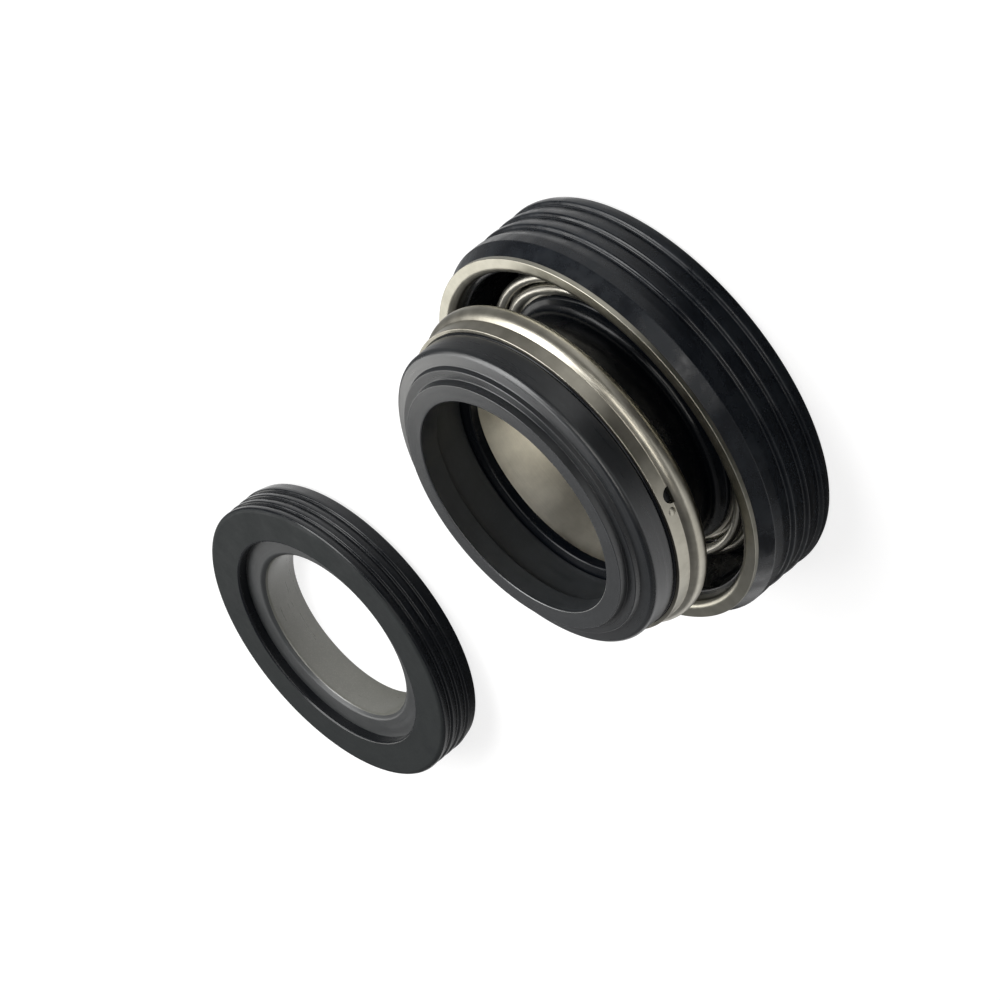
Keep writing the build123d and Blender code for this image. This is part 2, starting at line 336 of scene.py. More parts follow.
def stainless(name, light, dark, rough, draw=0.25, marks=0.5):
    """Cold-rolled stainless sheet, pressed and spun to shape: satin, with faint draw lines round the
    axis and a cloudy sheen."""
    material, tree, surface = shader(name)
    place, around = round_the_axis(tree, (0, 0), 2.4, 9000.0)
    lines = noise(tree, (0, 1), around, 1.0, 4.0, 0.65)
    # cloud size 2.5 mm: the sheen of rolled sheet after pressing
    clouds = noise(tree, (0, 3), place, 400.0, 3.0, 0.6)
    # grain about 0.12 mm, drawn coarser than the real 0.02 mm so that it shows
    grain = noise(tree, (0, 5), place, 8000.0, 2.0)
    tone = ramp(tree, (2, 3), (clouds, 0), (0.32, linear(dark)), (0.62, linear(light)))
    streak = ramp(tree, (2, 1), (lines, 0), (0.3, (0.86, 0.86, 0.86, 1)), (0.6, (1, 1, 1, 1)))
    colour = mixed(tree, (4, 2), "MULTIPLY", marks, (tone, 0), (streak, 0))
    spread = mapped(tree, (3, 4), (clouds, 0), NOISE_SPAN, rough * 0.93, rough * 1.1)
    drawn = bump(tree, (4, 5), draw, 0.00001, lines)
    fine = bump(tree, (5, 5), draw * 0.3, 0.000003, grain, drawn)
    coat(tree, surface, colour.outputs[2], spread, fine)
    surface.inputs["Metallic"].default_value = 1.0
    return material


def rubber(name, body_colour, bloom_colour, rough, gloss, texture=0.06, mottle=0.25, centre=(0, 0)):
    """Black moulded nitrile or EPDM: near black, with a skin from the polished mould, a faint bloom of
    wax and talc that lightens it in patches, and flow lines round the axis.

    `texture` is the strength of the mould grain, and `mottle` how much the roughness varies."""
    material, tree, surface = shader(name)
    place, around = round_the_axis(tree, centre, 3.0, 2600.0)
    dark, light = linear(body_colour), linear(bloom_colour)
    flow = noise(tree, (0, 1), around, 1.0, 3.0, 0.6)
    # patches of bloom about 4 mm wide
    patches = noise(tree, (0, 3), place, 260.0, 5.0, 0.62)
    # mould grain about 0.15 mm
    grain = noise(tree, (0, 5), place, 6500.0, 2.0, 0.55)
    # specks of dust, 0.2 mm across and 2.4 mm apart
    specks = cells(tree, (0, 7), place, 420.0)
    dust = ramp(tree, (2, 7), (specks, "Distance"), (0.0, (1, 1, 1, 1)), (0.045, (0, 0, 0, 1)))
    tone = ramp(tree, (2, 3), (patches, 0), (0.38, dark), (0.75, light))
    streak = ramp(tree, (2, 1), (flow, 0), (0.35, dark), (0.8, light))
    colour = mixed(tree, (4, 2), "MIX", 0.3, (tone, 0), (streak, 0))
    dusted = mixed(tree, (5, 2), "SCREEN", 0.05, (colour, 2), (dust, 0))
    spread = mapped(tree, (3, 4), (patches, 0), NOISE_SPAN, rough * (1 - mottle), rough * (1 + mottle))
    grained = bump(tree, (4, 5), texture, 0.00001, grain)
    wave = bump(tree, (5, 5), 0.06, 0.00001, flow, grained)
    # the moulded skin sways by a few hundredths of a millimetre every 5 mm, which mottles its reflections
    sway = noise(tree, (0, 9), place, 210.0, 1.0)
    skin = bump(tree, (6, 5), 0.8, 0.00025, sway, wave)
    coat(tree, surface, dusted.outputs[2], spread, skin)
    surface.inputs["IOR"].default_value = 1.5
    surface.inputs["Specular IOR Level"].default_value = gloss
    return material


def ground_ceramic(name, dark, light, rough, gloss, lines_per_mm, centre=(0, 0), depth=0.35):
    """Hard carbide or ceramic, pressed from powder and ground to size: a dull sparkle and concentric
    grinding lines. A lower roughness and a lower `depth` of the lines make it look lapped."""
    material, tree, surface = shader(name)
    place, around = round_the_axis(tree, centre, 1.6, lines_per_mm * 1000.0)
    lines = noise(tree, (0, 1), around, 1.0, 5.0, 0.7)
    # clouds of 3 mm from the pressing of the powder
    clouds = noise(tree, (0, 3), place, 330.0, 4.0, 0.6)
    # crystals of 0.11 mm, drawn coarser than the real ones so that they show
    crystals = cells(tree, (0, 5), place, 9000.0)
    dark, light = linear(dark), linear(light)
    tone = ramp(tree, (2, 3), (clouds, 0), (0.35, dark), (0.68, light))
    streak = ramp(tree, (2, 1), (lines, 0), (0.3, dark), (0.7, light))
    colour = mixed(tree, (4, 2), "MIX", 0.5, (tone, 0), (streak, 0))
    sparkle = ramp(tree, (2, 5), (crystals, "Color"),
                   (0.55, (0.85, 0.85, 0.85, 1)), (0.95, (1.15, 1.15, 1.15, 1)))
    bright = mixed(tree, (5, 2), "MULTIPLY", 0.8, (colour, 2), (sparkle, 0))
    spread = mapped(tree, (3, 4), (lines, 0), NOISE_SPAN, rough * 0.8, rough * 1.25)
    ground = bump(tree, (4, 5), depth, 0.00001, lines)
    coat(tree, surface, bright.outputs[2], spread, ground)
    surface.inputs["IOR"].default_value = 2.0
    surface.inputs["Specular IOR Level"].default_value = gloss
    return material


def drawn_wire(name, light, dark, rough):
    """Cold-drawn stainless spring wire: bright, with die lines along the wire."""
    material, tree, surface = shader(name)
    coordinates = add(tree, "ShaderNodeTexCoord", (-5, 0))
    around = add(tree, "ShaderNodeAttribute", (-5, 2), {"attribute_name": "round_wire"})
    along = add(tree, "ShaderNodeAttribute", (-5, 4), {"attribute_name": "along_wire"})
    stretch = figure(tree, (-3, 4), "MULTIPLY", (along, "Fac"), 0.25)
    wind = figure(tree, (-3, 2), "MULTIPLY", (around, "Fac"), 26.0)
    vector = add(tree, "ShaderNodeCombineXYZ", (-2, 3), {}, {"X": (wind, 0), "Y": (stretch, 0)})
    lines = noise(tree, (0, 1), (vector, 0), 1.0, 3.0)
    # clouds of 2 mm
    clouds = noise(tree, (0, 3), (coordinates, "Object"), 500.0, 3.0)
    tone = ramp(tree, (2, 2), (clouds, 0), (0.35, linear(dark)), (0.65, linear(light)))
    spread = mapped(tree, (2, 4), (lines, 0), NOISE_SPAN, rough * 0.7, rough * 1.4)
    drawn = bump(tree, (4, 5), 0.2, 0.00001, lines)
    coat(tree, surface, tone.outputs[0], spread, drawn)
    surface.inputs["Metallic"].default_value = 1.0
    return material


# Node trees for geometry

def new_tree(name, sockets):
    """A geometry tree with its input node, and {label: identifier} of its inputs."""
    tree = bpy.data.node_groups.new(name, "GeometryNodeTree")
    face = tree.interface
    face.new_socket("Geometry", in_out="OUTPUT", socket_type="NodeSocketGeometry")
    face.new_socket("Geometry", in_out="INPUT", socket_type="NodeSocketGeometry")
    names = {}
    for label, kind in (*sockets, ("Material", "Material")):
        names[label] = face.new_socket(label, in_out="INPUT", socket_type=f"NodeSocket{kind}").identifier
    return tree, add(tree, "NodeGroupInput", (-8, 0)), names


def dress(tree, into, geometry):
    """Ends a geometry tree: plain mesh with its material."""
    plain = add(tree, "GeometryNodeRealizeInstances", (4, 0), {}, {"Geometry": (geometry, 0)})
    dressed = add(tree, "GeometryNodeSetMaterial", (5, 0), {},
                  {"Geometry": (plain, 0), "Material": (into, "Material")})
    add(tree, "NodeGroupOutput", (6, 0), {}, {"Geometry": (dressed, 0)})


def wire_tree():
    """Geometry nodes: a round wire that follows the path it is given."""
    tree, into, names = new_tree("Wire along a path", (("Wire diameter", "Float"), ("Sides", "Int")))
    half = figure(tree, (-5, 2), "MULTIPLY", (into, "Wire diameter"), 0.5)
    path = add(tree, "GeometryNodeMeshToCurve", (-5, 0), {}, {"Mesh": (into, "Geometry")})
    ring = add(tree, "GeometryNodeCurvePrimitiveCircle", (-4, 2), {},
               {"Resolution": (into, "Sides"), "Radius": (half, 0)})
    where = add(tree, "GeometryNodeSplineParameter", (-5, 4))
    stored = {"data_type": "FLOAT", "domain": "POINT"}
    along = add(tree, "GeometryNodeStoreNamedAttribute", (-3, 0), stored,
                {"Geometry": (path, 0), "Name": "along_wire", "Value": (where, "Length")})
    around = add(tree, "GeometryNodeStoreNamedAttribute", (-3, 2), stored,
                 {"Geometry": (ring, 0), "Name": "round_wire", "Value": (where, "Factor")})
    tube = add(tree, "GeometryNodeCurveToMesh", (-1, 0), {},
               {"Curve": (along, 0), "Profile Curve": (around, 0), "Fill Caps": True})
    dress(tree, into, tube)
    return tree, names


def punch_tree():
    """Geometry nodes: half-round drive notches, evenly spaced, cut out of a turned sheet, and a lug
    pressed out beside each of them."""
    lug_lift = 0.75 * MM  # up from the notch's straight edge
    lug_turn = math.radians(-5.2)  # round the band from the notch
    lug_ball = 1.2 * MM
    sink = 0.9602  # the ball's centre, as a share of the band's radius
    skin = 0.2 * MM  # the ball is cut off this far outside the middle of the band's sheet
    tree, into, names = new_tree("Drive notches round a band", (
        ("Count", "Int"), ("First angle", "Float"), ("Band radius", "Float"), ("Height", "Float"),
        ("Notch radius", "Float"), ("Depth", "Float"),
    ))
    # points round the band
    line = add(tree, "GeometryNodePoints", (-6, 2), {}, {"Count": (into, "Count")})
    index = add(tree, "GeometryNodeInputIndex", (-7, 4))
    share = figure(tree, (-6, 4), "DIVIDE", (index, 0), (into, "Count"))
    turn = figure(tree, (-5, 4), "MULTIPLY_ADD", (share, 0), 2 * math.pi, (into, "First angle"))
    east = figure(tree, (-4, 3), "COSINE", (turn, 0))
    north = figure(tree, (-4, 4), "SINE", (turn, 0))
    out = add(tree, "ShaderNodeCombineXYZ", (-3, 3), {}, {"X": (east, 0), "Y": (north, 0)})
    radial = add(tree, "ShaderNodeVectorMath", (-2, 3), {"operation": "SCALE"},
                 {0: (out, 0), "Scale": (into, "Band radius")})
    lift = upward(tree, (-3, 5), (into, "Height"))
    place = add(tree, "ShaderNodeVectorMath", (-1, 4), {"operation": "ADD"}, {0: (radial, 0), 1: (lift, 0)})
    spots = add(tree, "GeometryNodeSetPosition", (-1, 2), {}, {"Geometry": (line, 0), "Position": (place, 0)})
    # the punch: the upper half of a cylinder that lies along the radius
    punch = add(tree, "GeometryNodeMeshCylinder", (-4, 7), {},
                {"Vertices": 64, "Radius": (into, "Notch radius"), "Depth": (into, "Depth")})
    laid = add(tree, "GeometryNodeTransform", (-3, 7), {},
               {"Geometry": (punch, 0), "Rotation": (0, math.pi / 2, 0)})
    wide = figure(tree, (-6, 9), "MULTIPLY", (into, "Notch radius"), 4.0)
    size = add(tree, "ShaderNodeCombineXYZ", (-5, 9), {}, {"X": (wide, 0), "Y": (wide, 0), "Z": (wide, 0)})
    block = add(tree, "GeometryNodeMeshCube", (-4, 9), {}, {"Size": (size, 0)})
    below = figure(tree, (-6, 11), "MULTIPLY", (into, "Notch radius"), -2.0)
    drop = upward(tree, (-5, 11), (below, 0))
    under = add(tree, "GeometryNodeTransform", (-3, 9), {},
                {"Geometry": (block, 0), "Translation": (drop, 0)})
    cutting = {"operation": "DIFFERENCE", "solver": "EXACT"}
    moon = add(tree, "GeometryNodeMeshBoolean", (-2, 8), cutting, {"Mesh 1": (laid, 0), "Mesh 2": (under, 0)})
    facing = upward(tree, (-2, 6), (turn, 0))
    many = add(tree, "GeometryNodeInstanceOnPoints", (0, 3), {},
               {"Points": (spots, 0), "Instance": (moon, 0), "Rotation": (facing, 0)})
    solid = add(tree, "GeometryNodeRealizeInstances", (1, 3), {}, {"Geometry": (many, 0)})
    cut = add(tree, "GeometryNodeMeshBoolean", (2, 1), cutting,
              {"Mesh 1": (into, "Geometry"), "Mesh 2": (solid, 0)})
    # the lugs: caps of balls that stand out of the band
    beside = add(tree, "GeometryNodeTransform", (0, 6), {},
                 {"Geometry": (spots, 0), "Translation": (0, 0, lug_lift), "Rotation": (0, 0, lug_turn),
                  "Scale": (sink, sink, 1)})
    ball = add(tree, "GeometryNodeMeshUVSphere", (0, 8), {},
               {"Segments": 96, "Rings": 48, "Radius": lug_ball})
    balls = add(tree, "GeometryNodeInstanceOnPoints", (1, 6), {},
                {"Points": (beside, 0), "Instance": (ball, 0)})
    loose = add(tree, "GeometryNodeRealizeInstances", (2, 6), {}, {"Geometry": (balls, 0)})
    edge = figure(tree, (0, 10), "ADD", (into, "Band radius"), skin)
    core = add(tree, "GeometryNodeMeshCylinder", (1, 8), {},
               {"Vertices": 480, "Radius": (edge, 0), "Depth": 60 * MM})
    lugs = add(tree, "GeometryNodeMeshBoolean", (3, 6), cutting, {"Mesh 1": (loose, 0), "Mesh 2": (core, 0)})
    both = add(tree, "GeometryNodeJoinGeometry", (3, 2))
    tree.links.new(cut.outputs[0], both.inputs[0])
    tree.links.new(lugs.outputs[0], both.inputs[0])
    dress(tree, into, both)
    return tree, names


# Sizes and colours

def length(label, what, size, least=0.0):
    """A length in millimetres that the panel shows."""
    return FloatProperty(name=label, description=what, default=size, min=least)


class SealSizes(bpy.types.PropertyGroup):
    """Sizes of the head and of the seat, in millimetres, as the solid model has them."""

    bore: length("Case bore", "Radius of the rubber-lined hole in the case", 11.2, 5)
    case_sheet: length("Case sheet", "Thickness of the pressed cup", 0.7, 0.3)
    case_outer: length("Case radius", "Outside of the cup's straight wall", 23.7, 10)
    case_height: length("Rim height", "Back face to the middle of the rim's sheet", 12.15, 5)
    rim_bend: length("Rim bend", "Middle radius of the bend from wall to lip", 0.5, 0.4)
    collar_height: length("Collar height", "Back face to the top of the inner collar", 5.0, 2)
    back_rubber: length("Back rubber", "Rubber behind the cup's floor", 0.8)
    crest: length("Rib crest", "Outer radius of the case's ribs", 26.0, 10)
    rib_depth: length("Rib depth", "Crest to groove", 0.5)
    rib_pitch: length("Rib pitch", "From one rib to the next", 2.4)
    rib_count: IntProperty(name="Ribs", description="Ribs on the case", default=4, min=1)
    spring_radius: length("Spring radius", "Middle radius of the widest turns", 19.85, 5)
    wire: length("Spring wire", "Diameter of the spring's wire", 1.3, 0.3)
    travel: length("Travel", "How far the nose is pushed in at its limit", 2.5)
    holder_sheet: length("Nose sheet", "Thickness of the holder and of the sleeve", 0.5, 0.2)
    neck: length("Sleeve neck", "Inner radius of the flared sleeve's neck", 13.4, 5)
    mouth: length("Sleeve mouth", "Inner radius of the flared sleeve's mouth", 15.6, 5)
    flange: length("Sleeve flange", "Outer radius of the sleeve's flange", 17.4, 5)
    flange_under: length("Flange height", "Back face to the underside of the flange", 7.05, 1)
    sleeve_top: length("Sleeve top", "Back face to the sleeve's front edge", 16.7, 5)
    ring_bore: length("Ring bore", "Inner radius of the nose ring", 14.7, 5)
    ring_radius: length("Ring radius", "Outer radius of the nose ring", 20.5, 5)
    ring_back: length("Ring back", "Back face to the nose ring's back", 18.8, 5)
    free_height: length("Free height", "Back face to the sealing face", 26.2, 10)
    seat_bore: length("Seat bore", "Inner radius of the seat", 12.0, 3)
    seat_ring: length("Seat ring", "Outer radius of the seat's hard ring", 18.3, 5)
    seat_crest: length("Seat rib crest", "Outer radius of the seat's rubber", 20.1, 5)
    seat_ring_height: length("Seat ring height", "Lapped face to the hard ring's back", 5.2, 2)
    seat_height: length("Seat height", "Lapped face to the rubber's back", 6.5, 3)


class SealColours(bpy.types.PropertyGroup):
    """Colours that a user would change."""

    rubber: FloatVectorProperty(name="Rubber", description="Colour of the moulded rubber", subtype="COLOR",
                                size=4, default=linear("#0A0D12"))
    floor: FloatVectorProperty(name="Floor", description="Colour of the studio floor", subtype="COLOR",
                               size=4, default=(0.8, 0.8, 0.8, 1))


# The case

class SEAL_OT_case(bpy.types.Operator):
    """Pressed steel cup with a turned-out lip and the ribbed rubber moulded round it"""

    bl_idname = "seal.case"
    bl_label = "Case and jacket"

    def execute(self, context):
        s = context.scene.seal_sizes
        lap = 0.05  # rubber that reaches into the sheet it is moulded on
        half = s.case_sheet / 2
        wall = s.case_outer - half
        lip = s.crest - 0.9
        lip_edge = s.case_height - 0.15
        collar = s.bore + LINING
        floor_middle = s.back_rubber + half
        steel = stainless("Pressed stainless sheet, satin", "#B4B1A4", "#A4A194", 0.3, draw=0.3, marks=0.3)
        hand_over(turned(
            "lipped_cup",
            pressed(
                s.case_sheet,
                (collar + half, s.collar_height, 0),
                (collar + half, floor_middle, 0.9),
                (wall, floor_middle, 1.6),
                (wall, s.case_height, s.rim_bend),
                (lip, lip_edge, 0),
            ),
            [steel],
        ), "case", "case_cup")
        black = rubber("Moulded nitrile rubber, mould-polished ribs", panel_rubber(), "#181E25", 0.27, 0.42,
                       mottle=0.6)
        slope = 1.8  # height of the jacket's slope from the lip to the first rib
        root = s.crest - s.rib_depth
        lined_floor = s.back_rubber + s.case_sheet + LINING
        liner = s.case_outer - s.case_sheet - LINING
        liner_foot = liner - 1.3
        liner_top = s.case_height - 1.4
        collar_top = s.collar_height - 0.02
        hand_over(turned(
            "ribbed_jacket",
            [
                (wall, s.case_height, s.rim_bend),
                (lip - 0.2, lip_edge, 0),
                *ribs(s.crest, root, first_land=1.5, land=0.6, pitch=s.rib_pitch, count=s.rib_count,
                      top=lip_edge - half - slope, soft=(0.35, 1.4, 0.22)),
                (root, 0, 0.9),
                (s.bore, 0, 0.2),
                (s.bore, collar_top, 0.15),
                (collar + lap, collar_top, 0),
                (collar + lap, floor_middle, 0),
                (liner_foot, floor_middle, 0),
                (liner_foot, lined_floor, 0.2),
                (liner, lined_floor, 1.0),
                (liner, liner_top, 0.25),
                (wall, liner_top, 0),
            ],
            [black],
        ), "case", "case_jacket")
        return {"FINISHED"}


# The spring

class SEAL_OT_spring(bpy.types.Operator):
    """Coil spring: a closed turn on the floor, open turns, then inward and in under the flange"""

    bl_idname = "seal.spring"
    bl_label = "Coil spring"

    def execute(self, context):
        s = context.scene.seal_sizes
        gap = 0.02  # from the wire to the floor and to the flange
        step_over = s.wire + 0.05  # from one turn to the next where they nearly touch
        floor = s.back_rubber + s.case_sheet
        low = floor + s.wire / 2 + gap
        end = s.flange_under - s.wire / 2 - gap
        crown = end + 1.6
        drop = s.flange + 0.15 + s.wire / 2
        # turns from the station before, radius, height
        stations = [
            (0, s.spring_radius, low),
            (1, s.spring_radius, low + step_over),
            (1.5, s.spring_radius, crown),
            (0.5, s.spring_radius - 0.6 * (s.spring_radius - drop), crown),
            (0.5, drop, crown),
            (0.25, drop, end),
            (1, drop - step_over, end),
        ]
        spring = self.path(stations)
        tree, names = wire_tree()
        wind = spring.modifiers.new("Wire", "NODES")
        wind.node_group = tree
        wind[names["Wire diameter"]] = s.wire * MM
        wind[names["Sides"]] = 32
        wind[names["Material"]] = drawn_wire("Cold-drawn stainless spring wire", "#CBC8BE", "#B3B0A6", 0.3)
        settle(spring)
        hand_over(spring, "case", "coil_spring")
        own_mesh(spring)
        return {"FINISHED"}

    def path(self, stations):
        """The wire's middle line, which winds smoothly from station to station."""
        steps = 24  # points in a turn
        points = []
        start = 0
        for (_, radius, height), (span, next_radius, next_height) in zip(stations, stations[1:]):
            count = round(span * steps)
            for step in range(count):
                share = step / count
                angle = math.pi + 2 * math.pi * (start + span * share)
                ring = radius + (next_radius - radius) * share
                points.append((ring * math.cos(angle) * MM, ring * math.sin(angle) * MM,
                               (height + (next_height - height) * share) * MM, 1))
            start += span
        curve = bpy.data.curves.new("spring_path", "CURVE")
        curve.dimensions = "3D"
        spline = curve.splines.new("NURBS")
        spline.points.add(len(points) - 1)
        for point, place in zip(spline.points, points):
            point.co = place
        spline.order_u = 4
        spline.use_endpoint_u = True
        spline.resolution_u = 3
        drawn = bpy.data.objects.new("spring_path", curve)
        bpy.context.scene.collection.objects.link(drawn)
        mesh = bpy.data.meshes.new_from_object(drawn.evaluated_get(bpy.context.evaluated_depsgraph_get()))
        bpy.data.objects.remove(drawn)
        mesh.name = "wound_spring"
        spring = bpy.data.objects.new("wound_spring", mesh)
        bpy.context.scene.collection.objects.link(spring)
        return spring


# The hidden bellows

class SEAL_OT_bellows(bpy.types.Operator):
    """Rubber bellows inside the sleeve's neck and the steel ring on its tail"""

    bl_idname = "seal.bellows"
    bl_label = "Bellows and clamp"

    def execute(self, context):
        s = context.scene.seal_sizes
        wall = 1.0
        floor_top = s.back_rubber + s.case_sheet
        collar = s.bore + LINING + s.case_sheet
        tail = collar + wall
        tail_low = floor_top + 0.9
        tail_top = floor_top + 2.8
        fold = 15.5
        fold_top = s.flange_under - 0.5
        neck = s.neck - 0.8
        neck_top = s.flange_under + 2.3
        black = rubber("Moulded rubber, thin bellows wall", panel_rubber(), "#1A1D20", 0.5, 0.2, texture=0.25)
        bellows = turned(
            "thin_bellows",
            [
                (collar, tail_low, 0),
                (tail, tail_low, 0.1),
                (tail, tail_top, 0.3),
                (fold, tail_top + 0.5, 0.5),
                (fold, fold_top, 0.5),
                (s.neck, fold_top, 0.2),
                (s.neck, neck_top, 0.1),
                (neck, neck_top, 0.3),
                (neck, fold_top - wall, 0.2),
                (fold - wall, fold_top - wall, 0.1),
                (fold - wall, tail_top + 0.85, 0.1),
                (collar, tail_top + 0.4, 0.1),
            ],
            [black], segments=240,
        )
        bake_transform(bellows)
        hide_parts("inner_bellows")
        clamp = tail + 0.6
        clamp_low = floor_top + 1.2
        clamp_top = clamp_low + 1.2
        hand_over(turned(
            "tail_band",
            [
                (tail, clamp_low, 0.05),
                (clamp, clamp_low, 0.12),
                (clamp, clamp_top, 0.12),
                (tail, clamp_top, 0.05),
            ],
            [stainless("Stainless clamp band", "#C9C6BC", "#AFABA0", 0.3)], segments=240,
        ), "case", "tail_clamp")
        return {"FINISHED"}


# The nose

class SEAL_OT_nose(bpy.types.Operator):
    """Nose: hard ring, rubber boot, beaded steel holder and flared sleeve"""

    bl_idname = "seal.nose"
    bl_label = "Nose ring, boot, holder and sleeve"

    def execute(self, context):
        s = context.scene.seal_sizes
        boot = s.ring_radius + 0.1
        groove = boot - 1.4
        lip_top = s.ring_back + 2.2
        self.ring(s, groove, lip_top)
        self.boot(s, boot, groove, lip_top)
        self.holder(s, boot)
        self.sleeve(s)
        return {"FINISHED"}

    def ring(self, s, groove, lip_top):
        """Hard ring with a lapped face, two steps and a shoulder."""
        top = s.free_height
        inner = s.ring_bore
        first_step = top - 1.0
        second_step = top - 1.6
        counterbore = inner + 0.8
        body = ground_ceramic("Sintered silicon carbide, ground", "#121518", "#1C1F22", 0.3, 0.3, 1.6)
        # the lapped face: its low roughness and faint lines are its real finish, and its lighter colour is
        # painted light for the face's reflection
        lapped = ground_ceramic("Silicon carbide, lapped to a mirror, painted lighter", "#242628", "#313335", 0.2, 0.42, 3.0,
                                depth=0.08)
        # the ledges and the shoulder: the same ground finish as the body, painted lighter as painted light on
        # these upward faces
        step = ground_ceramic("Silicon carbide, ground, ledges painted light", "#1F2123", "#2B2D2F", 0.3, 0.3, 2.2)
        # the bore walls: a rougher bored finish, and a lighter colour that is painted light
        bored = ground_ceramic("Silicon carbide, bored wall, painted lighter", "#26292B", "#34373A", 0.4, 0.3, 1.2)
        hand_over(turned(
            "nose_ring",
            [
                (inner, top, 0.14),
                (inner + 2.3, top, 0.06),
                (inner + 2.45, first_step, 0.1),
                (inner + 3.7, first_step, 0.12),
                (inner + 3.9, second_step, 0.1),
                (s.ring_radius, top - 1.95, 0.7),
                (s.ring_radius, lip_top, 0.15),
                (groove, lip_top, 0),
                (groove, s.ring_back, 0),
                (counterbore, s.ring_back, 0.3),
                (counterbore, top - 3.0, 0.1),
                (inner, top - 2.6, 0.08),
            ],
            [body, lapped, step, bored], segments=480, paint={0: 1, 1: 0, 2: 2, 4: 2, 9: 3, 10: 3, 11: 3},
        ), "nose", "seal_ring")

    def boot(self, s, boot, groove, lip_top):
        """Rubber cup round the ring, the web behind it and the cone over the sleeve."""
        black = rubber("Moulded rubber, nose boot", panel_rubber(), "#0F1318", 0.24, 0.26)
        sheet = s.holder_sheet
        cone = s.mouth + sheet + 2.1
        neck = s.neck + sheet
        mouth = s.mouth + sheet + 0.1
        skirt = s.flange - 0.35
        flange_top = s.flange_under + sheet
        web_top = s.sleeve_top + 0.7
        lip = s.ring_bore - 0.7
        hand_over(turned(
            "nose_boot",
            [
                (groove, lip_top, 0.2),
                (boot, lip_top, 0.35),
                (boot, s.sleeve_top, 0.5),
                (cone, s.sleeve_top, 0),
                (cone, s.sleeve_top - sheet, 0.3),
                (neck + 1.1, flange_top + 1.3, 1.2),
                (skirt, flange_top + 0.7, 0.45),
                (skirt, flange_top, 0.15),
                (neck - sheet / 2, flange_top, 0),
                (neck - sheet / 2, s.flange_under + 2.4, 0),
                (s.mouth + sheet / 2, s.sleeve_top, 0),
                (mouth, s.sleeve_top - 0.22, 0),
                (mouth, web_top, 0.2),
                (lip, web_top, 0.3),
                (lip, s.ring_back, 0.3),
                (groove, s.ring_back, 0),
            ],
            [black], segments=480,
        ), "nose", "ring_boot")

    def holder(self, s, boot):
        """Rolled steel holder with its two punched drive notches."""
        sheet = s.holder_sheet
        band = boot + sheet / 2
        bead = band + 0.8
        foot = s.sleeve_top - sheet / 2
        groove = s.sleeve_top + 2.65 - sheet
        steel = stainless("Rolled stainless holder, bright", "#BDB9AC", "#A9A598", 0.33, draw=0.2, marks=0.3)
        holder = turned(
            "beaded_holder",
            pressed(
                sheet,
                (band, groove + 1.9, 0),
                (band, groove, 0.35),
                (bead, groove - 0.6, 1.0),
                (bead, foot, 1.0),
                (s.mouth + sheet + 2.35, foot, 0),
            ),
            [steel], segments=480,
        )
        tree, names = punch_tree()
        punch = holder.modifiers.new("Notches", "NODES")
        punch.node_group = tree
        settings = {"Count": 2, "First angle": math.radians(241), "Band radius": band * MM,
                    "Height": groove * MM, "Notch radius": 1.1 * MM, "Depth": 2.0 * MM, "Material": steel}
        for label, value in settings.items():
            punch[names[label]] = value
        settle(holder)
        hand_over(holder, "nose", "ring_holder")

    def sleeve(self, s):
        """Flared sleeve seen down the bore."""
        # the sleeve deep in the bore is painted far lighter than the other steel: painted light
        steel = stainless("Drawn stainless sleeve, satin, painted light", "#E4E0D4", "#D4D0C4", 0.36, draw=0.5, marks=0.5)
        half = s.holder_sheet / 2
        hand_over(turned(
            "flared_sleeve",
            pressed(
                s.holder_sheet,
                (s.mouth + half, s.sleeve_top, 0),
                (s.neck + half, s.flange_under + 2.4, 1.5),
                (s.neck + half, s.flange_under + half, 0.5),
                (s.flange, s.flange_under + half, 0),
            ),
            [steel], segments=480,
        ), "nose", "drive_sleeve")


# The seat

